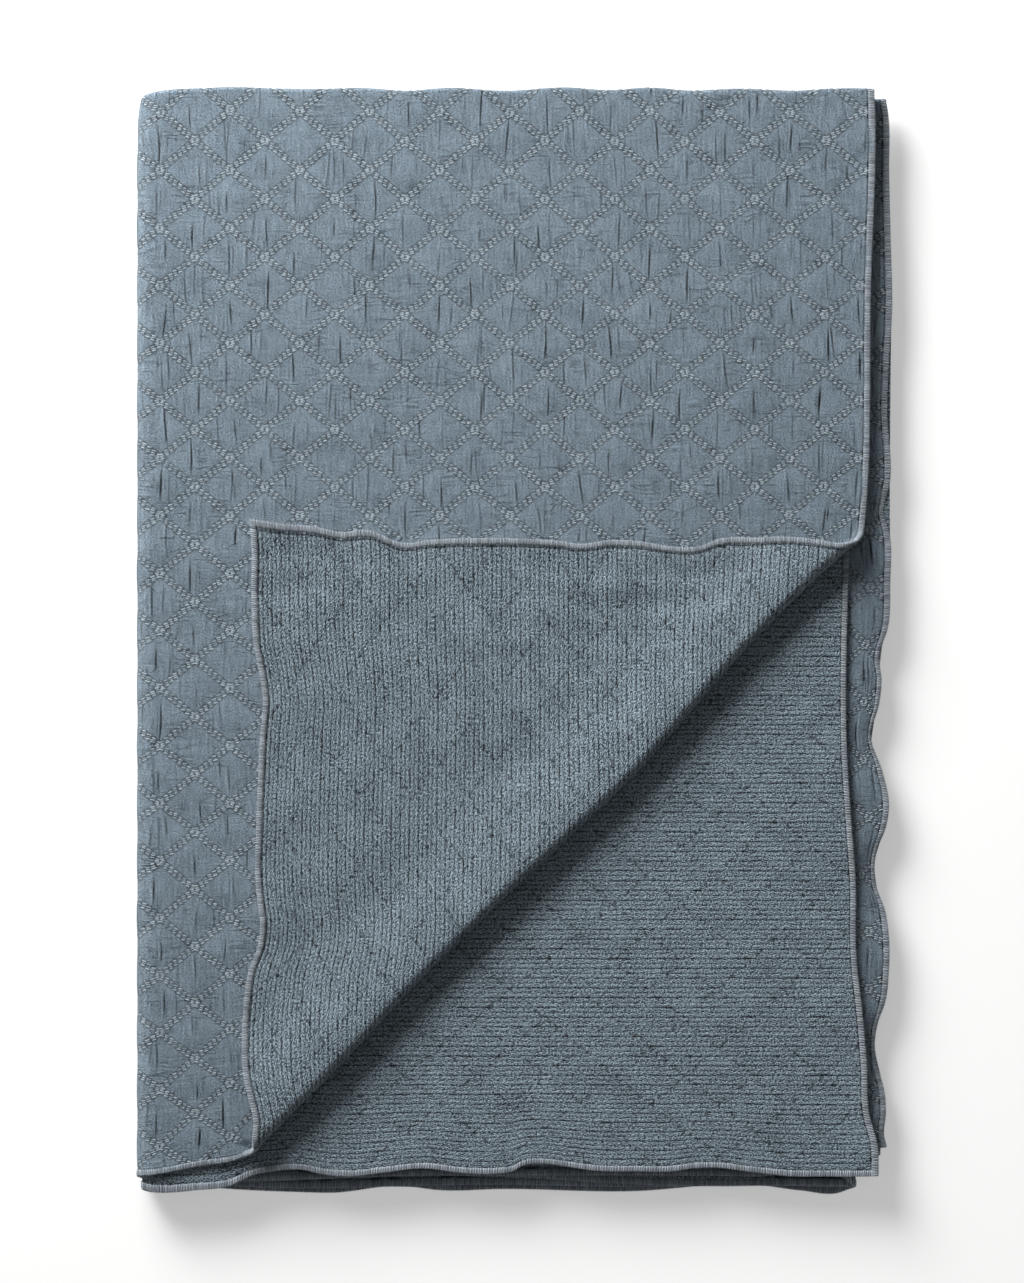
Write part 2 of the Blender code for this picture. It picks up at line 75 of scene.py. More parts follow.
# Turned-back corner
CORNER_LINE = 141.7 * MM
CORNER_ANGLE = math.radians(45.0)
ROLL_RADIUS = 7.0 * MM
FLAP_SETTLE = 75.0 * MM
ROLL_WANDER_REACH = 80.0 * MM

# Rounded corner where the top fold meets the left one, and how far it goes towards a full round
CORNER_ROUND = 46.0 * MM
ROUND_SHARE = 0.24

# How far the last quarter's free side drops, and how far the whole stack swells and dips
SIDE_DROOP = 2.5 * MM
DROOP_FROM_X = 276.0 * MM
STACK_SWELL = 1.2 * MM
SWELL_FROM = 0.1
SWELL_MOST = 1.2

# The stack's swell as waves: share, turn in radians a metre to the right and up, phase
SWELL_WAVES = (
    (0.25, 9.1, 6.3, 0.3), (0.25, 9.1, -6.3, 1.1), (0.3, 17.3, -11.9, 1.9), (0.2, 5.1, 23.7, 1.57),
)

# Raw side edge of the first quarter: place down the cloth, how far out, lift, reach inwards (mm)
FIRST_SIDE = (
    (0, 17, 3.0, 90), (28, 13, 2.0, 90), (55, 11, 1.0, 90), (77, 6.5, 0.5, 90),
    (101, 8, 1.5, 90), (132, -2.5, 0.5, 80), (151, 0, 0.5, 80), (194, 1.5, 1.0, 80),
    (230, 1, 1.0, 80), (262, -1, 0.5, 80), (274, -3, 0.5, 80), (300, 0, 1.0, 80),
    (324, -1, 0.5, 80), (349, -5, 0.5, 80), (371, -5, 1.0, 80), (387, 1, 1.5, 80),
    (416, 1.5, 1.0, 80), (442, 1, 0.5, 80), (467, -2.5, 0.5, 80), (483, -5.5, 0, 80),
    (510, -3, 0, 80), (557, -1.5, 0, 80), (701, 0, 0, 80), (861, 3, 0, 80), (870, 2.5, 0, 80),
    (1034, -8, 0, 200), (1200, -16, 0, 300), (1281, -18.5, 0.5, 300), (1335, -19.5, 0, 300),
    (1393, -19, 0.5, 300), (1444, -16, 1.5, 300), (1498, -12, 0.5, 300), (1564, -11, 0.5, 300),
    (1605, -6.5, 1.5, 260), (1646, -3, 0.5, 220), (1686, -1, 1.0, 180), (1711, 5.5, 1.5, 120),
    (1736, 6.5, 1.0, 90),
)

# Raw side edge of the last quarter, with the same columns
LAST_SIDE = (
    (0, -7, 0, 60), (61, -4, -1, 60), (109, -12, -3, 60), (173, -3, -1, 60), (245, -12, -3, 60),
    (301, -3, 0, 60), (353, -16, -4, 60), (397, -9, -2, 60), (461, -2, 0, 60), (541, -4, -1, 60),
    (701, -2, 0, 60), (861, -4, 0, 60), (874, -1.5, 0, 60), (940, 0, 0, 60), (991, 1.5, 0.5, 60),
    (1042, 2.5, 0, 60), (1083, 0, -1, 60), (1124, -1.5, 0, 60), (1178, 1, 0.5, 50),
    (1205, -4, -1.5, 50), (1222, 0.5, 0, 50), (1260, 1, 0.5, 60), (1297, -1, 0, 60),
    (1319, -8, -1.5, 60), (1339, -6, -1, 60), (1358, -8, -2, 60), (1382, -14.5, -4, 60),
    (1413, -5, -1, 60), (1439, 0, 0.5, 60), (1458, -3, -0.5, 60), (1474, -9.5, -3, 60),
    (1502, -10.5, -3, 60), (1524, -3, -1, 60), (1545, 0, 0.5, 60), (1570, 0, 0, 60),
    (1597, -3, -1, 60), (1615, -9, -2.5, 60), (1650, -10.5, -3, 60), (1675, -4, -1, 60),
    (1698, -2.5, 0.5, 60), (1722, -4, 0, 60), (1736, -1.5, 0, 60),
)

# Raw lower edge of the outer half: place across the cloth, how far out, lift, reach (mm)
OUTER_LOWER = (
    (-10, -11, 3.0, 300), (12, -14, 2.0, 300), (49, -14, 1.0, 300), (84, -16, 0.5, 300),
    (104, -20, 0.5, 300), (125, -23, 1.0, 300), (155, -21, 0.5, 300), (196, -19, 0.5, 300),
    (237, -17.5, 1.0, 300), (266, -17, 0.5, 300), (286, -18.5, 0.5, 300), (306, -21, 1.0, 300),
    (326, -18.5, 0.5, 300), (343, -12, 1.0, 300), (370, -8, 1.5, 300), (398, -6.5, 1.0, 300),
    (429, -8, 0.5, 300), (449, -13, 0.5, 300), (463, -16, 0.5, 300), (479, -15, 0.5, 300),
    (496, -17, 0, 280), (506, -13.5, 0, 260), (536, -8.5, 0, 240), (573, -1.5, 0, 220),
    (592, 1, 0, 200), (607, 6, 0, 160), (655, 11, 0, 120), (725, 14.5, 0, 100),
    (749, 15, 0, 100), (805, 9.5, 0, 100), (837, 13, 0, 100), (885, 12, 0, 100),
    (997, 13.5, 0, 100), (1057, 9, 0, 100), (1093, 9, 0, 100), (1125, 13, 0, 100),
    (1160, 14, 0, 100), (1170, 9, 0, 100), (1178, 3, 0, 100), (1250, 1, 0, 100),
    (1400, 0, 0, 100), (1500, 0, 0, 100), (1725, -2, 0, 120), (1737, -4, 0, 120),
    (1800, -6, 0, 120), (2000, -8, 0, 120), (2200, -12, 0, 120), (2330, -16, -1, 120),
)

# Raw lower edge of the inner half, with the same columns
INNER_LOWER = (
    (-10, -1, 1.0, 100), (8, 0, 1.0, 100), (37, 0, 0.5, 100), (61, 0, 0.5, 100),
    (86, -2.5, 1.0, 100), (98, -4, 1.5, 100), (122, -7, 1.0, 100), (141, -6.5, 0.5, 100),
    (159, -4, 0.5, 100), (184, -4, 0.5, 100), (223, -5, 1.0, 100), (243, -8, 1.5, 100),
    (263, -10.5, 1.5, 100), (277, -9, 1.0, 100), (286, -4, 0.5, 100), (296, -2.5, 0.5, 100),
    (323, -2.5, 0.5, 100), (359, -6.5, 1.5, 100), (390, -3, 1.0, 100), (418, 0, 0.5, 100),
    (437, -1.5, 0.5, 100), (455, -5.5, 1.0, 100), (479, -4, 0.5, 100), (492, -1.5, 0, 100),
    (514, 8, 0, 100), (539, 11, 0, 100), (569, 13, 0, 100), (592, 10, 0, 100),
    (607, 9, 0, 100), (725, 11, 0, 100), (885, 8, 0, 100), (1000, 10, 0, 100),
    (1100, 8, 0, 100), (1160, 10, 0, 100), (1178, 9, 0, 100), (1294, 9, 0, 100),
    (1374, 6, 0, 100), (1430, 2, 0, 100), (1534, 0, 0, 100), (1725, -2, 0, 100),
    (1740, -6, 0, 120), (2000, -12, 0, 160), (2250, -20, 0, 160), (2330, -23, -1, 160),
)

# Top fold: place across the cloth, how far out, lift, reach (mm)
TOP_FOLD = (
    (-10, 1.5, 0, 120), (35, 2.5, 0, 120), (60, 0.5, 0, 120), (95, 2.5, 0, 120),
    (140, 1.0, 0, 120), (175, 3.0, 0, 120), (215, 1.5, 0, 120), (250, 3.5, 0, 120),
    (290, 0.5, 0, 120), (330, 3.0, 0, 120), (370, 1.0, 0, 120), (415, 3.0, 0, 120),
    (450, 2.0, 0, 120), (500, 3.5, 0, 120), (535, 3.0, 0, 120), (565, 2.0, 0, 120),
    (590, 0.5, 0, 120), (615, -1.5, 0, 120), (660, -4, 0, 120), (900, -4, 0, 120),
    (1165, -6, 0, 120), (1400, -3, 0, 120), (1725, -6, 0, 120), (1745, -8, 0, 120),
    (1900, -6, 0, 120), (2330, -5.5, 0, 120),
)

# Fold of the turned-back corner: place along it from its middle, how far out (mm)
CORNER_WANDER = (
    (-350, 0), (-310, -1), (-250, -3), (-150, -2), (-60, 1), (0, 2), (60, -2), (120, -6),
    (180, -7), (240, -5), (300, -1), (350, 2),
)

HALF_WIDTH = DIAMOND_WIDTH / 2
HALF_HEIGHT = DIAMOND_HEIGHT / 2

# Lengths along the cloth
FIRST = FIRST_EDGE_X - OUTER_FOLD_X
SECOND = RIGHT_FOLD_X - OUTER_FOLD_X
THIRD = RIGHT_FOLD_X - INNER_FOLD_X
FOURTH = LAST_EDGE_X - INNER_FOLD_X
LARGE_ARC = 3 * math.pi * LAYER_PITCH
SMALL_ARC = math.pi * LAYER_PITCH
STARTS = np.cumsum([0, FIRST, LARGE_ARC, SECOND, SMALL_ARC, THIRD, SMALL_ARC, FOURTH])
WIDTH = float(STARTS[-1])
HALF = TOP_FOLD_Y - LOWER_EDGE_Y
HAIRPIN = math.pi * LAYER_PITCH / 2
LENGTH = 2 * HALF + HAIRPIN


def smooth(t):
    t = np.clip(t, 0, 1)
    return t * t * (3 - 2 * t)


def along(rows, column, place):
    """One column of a table, on a smooth curve through its rows."""
    table = np.array(rows, float)
    places = table[:, 0] * MM
    values = table[:, column]
    slopes = np.gradient(values, places)
    i = np.clip(np.searchsorted(places, place) - 1, 0, len(places) - 2)
    gap = places[i + 1] - places[i]
    t = np.clip((place - places[i]) / gap, 0, 1)
    start = (1 + 2 * t) * (1 - t) ** 2 * values[i] + t * (1 - t) ** 2 * gap * slopes[i]
    end = t * t * (3 - 2 * t) * values[i + 1] + t * t * (t - 1) * gap * slopes[i + 1]
    return (start + end) * MM


def edge_move(rows, place, inwards):
    """How far an edge's table moves the cloth out, and lifts it, at a depth inwards."""
    near = np.clip(1 - inwards / along(rows, 3, place), 0, 1)
    return along(rows, 1, place) * near**2, along(rows, 2, place) * near**3


def section(across):
    """The packet's middle line in the XZ section, and its normal on the outer half's side."""
    s = LAYER_PITCH
    x = np.zeros_like(across)
    z = np.zeros_like(across)
    nx = np.zeros_like(across)
    nz = np.zeros_like(across)
    leg = np.clip(np.searchsorted(STARTS, across, side="right") - 1, 0, 6)
    run = across - STARTS[leg]
    straight = (
        # leg, first x, direction, height in layers, normal's z
        (0, FIRST_EDGE_X, -1, 7, 1),
        (2, OUTER_FOLD_X, 1, 1, -1),
        (4, RIGHT_FOLD_X, -1, 3, 1),
        (6, INNER_FOLD_X, 1, 5, -1),
    )
    for number, first_x, way, layers, up in straight:
        here = leg == number
        x[here] = first_x + way * run[here]
        z[here] = layers * s
        nz[here] = up
    turns = (
        # leg, centre x, centre height in layers, radius in layers, side, start, outer half outside
        (1, OUTER_FOLD_X, 4, 3, -1, 1, 1),
        (3, RIGHT_FOLD_X, 2, 1, 1, -1, 1),
        (5, INNER_FOLD_X, 4, 1, -1, -1, -1),
    )
    for number, centre_x, layers, radius, side, start, outside in turns:
        here = leg == number
        angle = run[here] / (radius * s)
        away_x = side * np.sin(angle)
        away_z = start * np.cos(angle)
        x[here] = centre_x + radius * s * away_x
        z[here] = layers * s + radius * s * away_z
        nx[here] = outside * away_x
        nz[here] = outside * away_z
    return x, z, nx, nz


def turn_corner(x, y, z, here):
    """Rolls the cloth past the corner's fold line back over itself."""
    out_x, out_y = math.sin(CORNER_ANGLE), -math.cos(CORNER_ANGLE)
    run_x, run_y = -out_y, out_x
    past = x * out_x + y * out_y - (CORNER_LINE - ROLL_RADIUS)
    run = x * run_x + y * run_y
    r = ROLL_RADIUS
    angle = np.clip(past / r, 0, math.pi)
    after = np.maximum(past - math.pi * r, 0)
    roll = r * np.sin(angle) - after
    settle = smooth(after / FLAP_SETTLE)
    rise = r * (1 - np.cos(angle)) - (2 * r - LAYER_PITCH) * settle
    near = np.clip(1 - np.abs(past - math.pi * r / 2) / ROLL_WANDER_REACH, 0, 1)
    wander = along(CORNER_WANDER, 1, run) * smooth(near)
    change = np.where(past > 0, roll - past, 0) + wander
    x = np.where(here, x + change * out_x, x)
    y = np.where(here, y + change * out_y, y)
    z = np.where(here & (past > 0), z + rise, z)
    return x, y, z


def round_corner(x, y):
    """Draws the square corner at the upper left in towards a round one, for every layer alike."""
    r = CORNER_ROUND
    u = np.clip((OUTER_FOLD_X - 3 * LAYER_PITCH + r - x) / r, 0, 1)
    v = np.clip((y - TOP_FOLD_Y - LAYER_PITCH / 2 + r) / r, 0, 1)
    right = ROUND_SHARE * r * u * (1 - np.sqrt(1 - v * v / 2))
    lower = ROUND_SHARE * r * v * (1 - np.sqrt(1 - u * u / 2))
    return x + right, y - lower


def place(across, down):
    """Where the cloth's middle surface lies, for lengths across and down the flat sheet."""
    across = np.asarray(across, float)
    down = np.asarray(down, float)
    x, z, nx, nz = section(across)
    outer = down < HALF
    inner = down > HALF + HAIRPIN
    turn = np.clip((down - HALF) / HAIRPIN, 0, 1) * math.pi
    aside = LAYER_PITCH / 2 * np.cos(turn)
    y = np.where(outer, LOWER_EDGE_Y + down, TOP_FOLD_Y + LAYER_PITCH / 2 * np.sin(turn))
    y = np.where(inner, TOP_FOLD_Y - (down - HALF - HAIRPIN), y)

    from_lower = np.where(down < LENGTH / 2, down, LENGTH - down)
    from_top = np.abs(down - LENGTH / 2)
    first_out, first_lift = edge_move(FIRST_SIDE, down, across)
    last_out, last_lift = edge_move(LAST_SIDE, down, WIDTH - across)
    outer_out, outer_lift = edge_move(OUTER_LOWER, across, from_lower)
    inner_out, inner_lift = edge_move(INNER_LOWER, across, from_lower)
    top_out, _ = edge_move(TOP_FOLD, across, from_top)
    low_out = np.where(down < LENGTH / 2, outer_out, inner_out)
    low_lift = np.where(down < LENGTH / 2, outer_lift, inner_lift)

    x = x + aside * nx + first_out + last_out
    y = y - low_out + top_out
    z = z + aside * nz
    first = across < FIRST
    upper = first & (down < LENGTH / 2)
    x, y, z = turn_corner(x, y, z, upper)
    z = z + first_lift + last_lift + low_lift
    x, y = round_corner(x, y)

    # The whole stack swells and dips together, in proportion to height, so that layers keep apart
    share = np.clip(z / (8 * LAYER_PITCH) - SWELL_FROM, 0, SWELL_MOST)
    swell = sum(part * np.sin(right * x + up * y + phase) for part, right, up, phase in SWELL_WAVES)
    free = smooth((x - DROOP_FROM_X) / (LAST_EDGE_X - DROOP_FROM_X)) * (across > STARTS[6])
    z = z + STACK_SWELL * swell * share - SIDE_DROOP * free
    return np.stack([x, y, z], axis=-1)


def facing(across, down):
    """The unit normal on the cloth's face side."""
    h = 0.2 * MM
    along_x = place(across + h, down) - place(across - h, down)
    along_y = place(across, down + h) - place(across, down - h)
    normal = np.cross(along_y, along_x)
    return normal / np.linalg.norm(normal, axis=-1, keepdims=True)


def quilting(across, down):
    """1 on a diamond's middle and 0 on the stitched trellis round it."""
    i = (across - TRELLIS_START[0]) / HALF_WIDTH
    j = (down - TRELLIS_START[1]) / HALF_HEIGHT
    return np.abs(np.sin(math.pi * (i + j) / 2) * np.sin(math.pi * (i - j) / 2))



def fold_distance(across, down):
    """Distance past the corner's fold line, on the flat sheet laid out as the first quarter."""
    x = FIRST_EDGE_X - across
    y = np.where(down < LENGTH / 2, LOWER_EDGE_Y + down, LOWER_EDGE_Y + LENGTH - down)
    return x * math.sin(CORNER_ANGLE) - y * math.cos(CORNER_ANGLE) - (CORNER_LINE - ROLL_RADIUS)


# Grid of the two cloths: spacing across and down, by stretch of the sheet
FACE_STEP = (1.25 * MM, 4.6 * MM)
BACK_STEP = (3.2 * MM, 1.0 * MM)
PLAIN_STEP = 9.0 * MM
HIDDEN_STEP = 14.0 * MM
BACK_HIDDEN_DOWN = 6.0 * MM
FOLD_STEP = 1.2 * MM
HAIRPIN_STEP = 0.7 * MM
FREE_STRIP = 44.0 * MM
BACK_FINE_DOWN = 0.505

# Relief
GROOVE_DEPTH = 0.10 * MM
GROOVE_WIDTH = 2.6
CREASE_SEED = 11
CREASES = 3
CREASE_HALF = 1.1 * MM
CREASE_BLOCK = 97
RIB_PITCH = 3.9 * MM
RIB_HEIGHT = 0.34 * MM
DIMPLE_DEPTH = 0.35 * MM
DIMPLES_A_SIDE = 4

# Wrinkles of the turned-back corner
RUMPLE = 0.65 * MM
RUMPLE_PITCH = 27.0 * MM
RUMPLE_DEEP = 190.0 * MM
RUMPLE_FADE = 50.0 * MM

# Float stitches
FLOAT_STEPS = 8
FLOAT_LENGTH = 4.0 * MM
FLOAT_WIDTH = 1.2 * MM
FLOAT_HEIGHT = 0.45 * MM
FLOAT_ROW = 1.6 * MM
FLOAT_SLANT = (0.18, 0.42)
BAND_HALF = 2.7

# A float's points in shares of its length, width and height, and its faces
FLOAT_SHAPE = (
    (-0.5, 0, -0.3), (-0.3, -0.5, 0), (-0.3, 0.5, 0), (-0.25, 0, 1),
    (0.25, 0, 1), (0.3, -0.5, 0), (0.3, 0.5, 0), (0.5, 0, -0.3),
)
FLOAT_FACES = (
    (0, 3, 1), (0, 2, 3), (1, 3, 4, 5), (3, 2, 6, 4), (4, 7, 5), (4, 6, 7), (0, 1, 5, 7), (0, 7, 6, 2),
)

# Overlocked edge
LOCK_PITCH = 1.3 * MM
LOCK_BAND = 4.4 * MM
LOCK_THREAD = 0.46 * MM
LOCK_SLANT = 0.5 * MM
CORE_STEP = 3.0 * MM
CORE_SHRINK = 0.35 * MM
# The core's tone lies below the loops' range, so it takes the darkest thread colour: painted shade between
# and under the loops
CORE_SHADE_TONE = -0.4

# A thread's three sides: share along the edge and away from the cloth
THREAD_RING = ((0.5, -0.2), (0, 1), (-0.5, -0.2))


def lines(stretches):
    """Grid lines through stretches of (start, end, step)."""
    found = [stretches[0][0]]
    for start, end, step in stretches:
        count = max(1, round((end - start) / step))
        found.extend(start + (end - start) * n / count for n in range(1, count + 1))
    return np.array(found)


def patchwork(across, down, block, fine):
    """Cells of a grid, kept where fine holds and joined into one polygon a block elsewhere."""
    nu, nv = len(across) - 1, len(down) - 1
    bu, bv = block
    edges_u = list(range(0, nu, bu)) + [nu]
    edges_v = list(range(0, nv, bv)) + [nv]
    kept = np.zeros((len(edges_u) + 1, len(edges_v) + 1), bool)
    for a in range(len(edges_u) - 1):
        for b in range(len(edges_v) - 1):
            us = across[[edges_u[a], edges_u[a + 1]]]
            vs = down[[edges_v[b], edges_v[b + 1]]]
            corners = [(u, v) for u in (us[0], us.mean(), us[1]) for v in (vs[0], vs.mean(), vs[1])]
            kept[a + 1, b + 1] = fine(*np.array(corners).T).any()
    faces = []

    def index(i, j):
        return i * (nv + 1) + j

    for a in range(len(edges_u) - 1):
        for b in range(len(edges_v) - 1):
            i0, i1, j0, j1 = edges_u[a], edges_u[a + 1], edges_v[b], edges_v[b + 1]
            if kept[a + 1, b + 1]:
                for i in range(i0, i1):
                    for j in range(j0, j1):
                        faces.append((index(i, j), index(i, j + 1), index(i + 1, j + 1), index(i + 1, j)))
                continue
            ring = [index(i0, j) for j in (range(j0, j1) if kept[a, b + 1] else (j0,))]
            ring += [index(i, j1) for i in (range(i0, i1) if kept[a + 1, b + 2] else (i0,))]
            ring += [index(i1, j) for j in (range(j1, j0, -1) if kept[a + 2, b + 1] else (j1,))]
            ring += [index(i, j0) for i in (range(i1, i0, -1) if kept[a + 1, b] else (i1,))]
            faces.append(tuple(ring))
    used, flat = np.unique(np.concatenate([np.array(f) for f in faces]), return_inverse=True)
    renumbered = []
    at = 0
    for face in faces:
        renumbered.append(flat[at:at + len(face)].tolist())
        at += len(face)
    return across[used // (nv + 1)], down[used % (nv + 1)], renumbered


def diamond(across, down):
    """Each point's diamond, its place from that diamond's middle, and its distance to a stitch line."""
    i = (across - TRELLIS_START[0]) / HALF_WIDTH
    j = (down - TRELLIS_START[1]) / HALF_HEIGHT
    a, b = (i + j) / 2, (i - j) / 2
    col, row = np.floor(a), np.floor(b)
    side = across - (TRELLIS_START[0] + (col + row + 1) * HALF_WIDTH)
    rise = down - (TRELLIS_START[1] + (col - row) * HALF_HEIGHT)
    steep = math.hypot(0.5 / HALF_WIDTH, 0.5 / HALF_HEIGHT)
    off = np.minimum(np.abs(a - np.round(a)), np.abs(b - np.round(b))) / steep
    return col.astype(int), row.astype(int), side, rise, off


def crease_table():
    """Each diamond's puckers: middle, centre, reach, slope, bend and depth, drawn once."""
    draw = np.random.default_rng(CREASE_SEED)
    shape = (CREASE_BLOCK, CREASE_BLOCK, CREASES)
    middle = draw.uniform(-0.6, 0.6, shape) * HALF_WIDTH
    middle[..., 0] = draw.uniform(-0.2, 0.2, shape[:2]) * HALF_WIDTH
    table = {
        "middle": middle,
        "centre": draw.uniform(-0.3, 0.3, shape) * HALF_HEIGHT,
        "reach": draw.uniform(0.4, 1.0, shape) * HALF_HEIGHT,
        "slope": draw.normal(0, 0.06, shape),
        "bend": draw.normal(0, 2.0, shape),
        "depth": draw.uniform(0.35, 1.05, shape) * np.array([1.0, 0.7, 0.55]) * MM,
    }
    table["depth"][draw.uniform(0, 1, shape) < np.array([0.10, 0.35, 0.5])] = 0
    return table


CREASE_TABLE = crease_table()


def crease_lines(across, down):
    """For each pucker near a point: how far aside it runs, and its depth there."""
    col, row, side, rise, off = diamond(across, down)
    at = (col % CREASE_BLOCK, row % CREASE_BLOCK)
    for n in range(CREASES):
        pick = {key: value[at][:, n] for key, value in CREASE_TABLE.items()}
        up = rise - pick["centre"]
        aside = side - pick["middle"] - pick["slope"] * up - pick["bend"] * up * up
        fade = smooth(1.25 * (1 - np.abs(up) / pick["reach"])) * smooth(off / (2.5 * MM))
        yield aside, pick["depth"] * fade


def creases(across, down):
    """Upright puckers in each diamond: a narrow trough with a ridge on its left."""
    relief = np.zeros_like(across)
    for aside, depth in crease_lines(across, down):
        trough = np.clip(1 - np.abs(aside) / CREASE_HALF, 0, 1)
        ridge = np.exp(-(((aside - 2.0 * CREASE_HALF) / (1.3 * CREASE_HALF)) ** 2))
        relief += depth * (0.45 * ridge - trough)
    return relief


def snap_to_creases(across, down):
    """Moves the grid's points that are next to a pucker onto its line, so that it stays sharp."""
    moved = across.copy()
    for aside, depth in crease_lines(across, down):
        near = (np.abs(aside) < 0.52 * FACE_STEP[0]) & (depth > 0.05 * MM)
        moved = np.where(near, across - aside, moved)
    return moved


def shown_quilting(across, down):
    """Where puffs stand out, as on the solid: not between the layers, nor under the stack."""
    hidden = ((across > FIRST) & (down > LENGTH / 2)) | (across > STARTS[2])
    inner = (across < FIRST) & (down > HALF + HAIRPIN)
    free = (across > WIDTH - FREE_STRIP) & (down > LENGTH / 2)
    return (free | ~(hidden | inner)).astype(float)


def face_height(across, down):
    """The face's height over the cloth's middle surface."""
    _, _, _, _, off = diamond(across, down)
    puff = 1 - (1 - quilting(across, down)) ** 2.6
    groove = np.exp(-((off / MM / GROOVE_WIDTH) ** 2))
    shown = shown_quilting(across, down)
    relief = PUFF * (puff - 0.55) - GROOVE_DEPTH * groove + creases(across, down)
    under = ((across > STARTS[2]) & (across < STARTS[3]) & (down < HALF)).astype(float)
    pressed = -0.5 * MM * groove - 0.25 * MM * (1 - puff)
    return FACE_SIDE + relief * shown + pressed * under


def dimples(across, down):
    """Spots where the stitches pull the back in, evenly along every line of the trellis."""
    i = (across - TRELLIS_START[0]) / HALF_WIDTH
    j = (down - TRELLIS_START[1]) / HALF_HEIGHT
    spots = np.zeros_like(across)
    steep = math.hypot(0.5 / HALF_WIDTH, 0.5 / HALF_HEIGHT)
    for line, along_line in (((i + j) / 2, (i - j) / 2), ((i - j) / 2, (i + j) / 2)):
        off = np.abs(line - np.round(line)) / steep
        beat = 0.5 + 0.5 * np.cos(2 * math.pi * DIMPLES_A_SIDE * along_line)
        spots = np.maximum(spots, np.exp(-((off / (1.5 * MM)) ** 2)) * beat**2)
    return spots


def back_height(across, down):
    """The back's height under the cloth's middle surface."""
    phase = down / RIB_PITCH * 2 * math.pi
    drift = 0.5 * np.sin(across * 31 + 3 * np.sin(down * 40)) + 0.3 * np.sin(across * 77 + down * 130)
    odd = 0.7 + 0.3 * np.cos(phase / 2 + 0.6 * np.sin(across * 12))
    rib = (0.5 + 0.5 * np.cos(phase + drift)) ** 0.7 * odd
    return BACK_SIDE - 0.5 * RIB_HEIGHT + RIB_HEIGHT * rib - DIMPLE_DEPTH * dimples(across, down)


def rumple(across, down):
    """Soft wrinkles of the turned-back corner, level with its upper edge."""
    past = fold_distance(across, down) - math.pi * ROLL_RADIUS
    turned = smooth(past / RUMPLE_FADE) * (across < FIRST) * (down < HALF)
    near_edge = smooth(across / (30 * MM)) * smooth((RUMPLE_DEEP - across) / RUMPLE_DEEP)
    rows = np.sin(across * 2 * math.pi / RUMPLE_PITCH + 1.3 * np.sin(down * 11) + 0.6 * np.sin(down * 37))
    gate = 0.5 + 0.5 * np.sin(down * 19 + across * 23 + 0.8)
    folds = np.sin((across + 0.4 * down) * 2 * math.pi / (2.6 * RUMPLE_PITCH) + 0.5)
    return RUMPLE * turned * (rows * gate * near_edge + 0.6 * folds)


def place_at(across, down, height):
    points = place(across, down) + facing(across, down) * np.asarray(height)[:, None]
    points[:, 2] += rumple(across, down)
    return points


def add_object(name, points, faces, across, down, third, materials):
    """A mesh with its flat place on the cloth kept in an attribute, in metres."""
    mesh = bpy.data.meshes.new(name)
    mesh.from_pydata(points.tolist(), [], faces)
    mesh.update()
    mesh.shade_smooth()
    cloth = mesh.attributes.new("cloth", "FLOAT_VECTOR", "POINT")
    cloth.data.foreach_set("vector", np.stack([across, down, third], axis=1).astype(np.float32).ravel())
    for material in materials:
        mesh.materials.append(material)
    obj = bpy.data.objects.new(name, mesh)
    bpy.context.scene.collection.objects.link(obj)
    return obj


def face_cloth(material):
    """The twill face: the outside of the folded sheet."""
    fine_across, fine_down = FACE_STEP
    across = lines((
        (0, STARTS[2], fine_across),
        (STARTS[2], STARTS[3], PLAIN_STEP),
        (STARTS[3], STARTS[4], FOLD_STEP),
        (STARTS[4], STARTS[5], HIDDEN_STEP),
        (STARTS[5], STARTS[6], FOLD_STEP),
        (STARTS[6], WIDTH - FREE_STRIP, HIDDEN_STEP),
        (WIDTH - FREE_STRIP, WIDTH, fine_across),
    ))
    down = lines((
        (0, HALF, fine_down),
        (HALF, HALF + HAIRPIN, HAIRPIN_STEP),
        (HALF + HAIRPIN, LENGTH, fine_down),
    ))

    def fine(u, v):
        outer = v < HALF + HAIRPIN
        flap_x, flap_y = -0.205, 0.085
        x, y = FIRST_EDGE_X - u, LOWER_EDGE_Y + v
        uncovered = (fold_distance(u, v) < 0.012) & ((x < flap_x + 0.02) | (y > flap_y - 0.02))
        return (
            (u < STARTS[2]) & outer & (uncovered | (u > FIRST))
            | (u > STARTS[2]) & (u < STARTS[4]) & (v < HALF)
            | (u > STARTS[3]) & (u < STARTS[4])
            | (u > WIDTH - FREE_STRIP)
            | (v > HALF) & (v < HALF + HAIRPIN)
        )

    u, v, faces = patchwork(across, down, (8, 8), fine)
    inside = (u > FACE_STEP[0]) & (u < FIRST - FACE_STEP[0]) & (v < HALF)
    u = np.where(inside, snap_to_creases(u, v), u)
    points = place_at(u, v, face_height(u, v))
    faces = [face[::-1] for face in faces]
    obj = add_object("face_cloth", points, faces, u, v, np.zeros_like(u), [material])
    aside, depth = zip(*crease_lines(u, v))
    for name, values in (("pucker_aside", aside), ("pucker_depth", depth)):
        field = obj.data.attributes.new(name, "FLOAT_VECTOR", "POINT")
        field.data.foreach_set("vector", (np.stack(values, axis=1) / MM).astype(np.float32).ravel())
    return obj


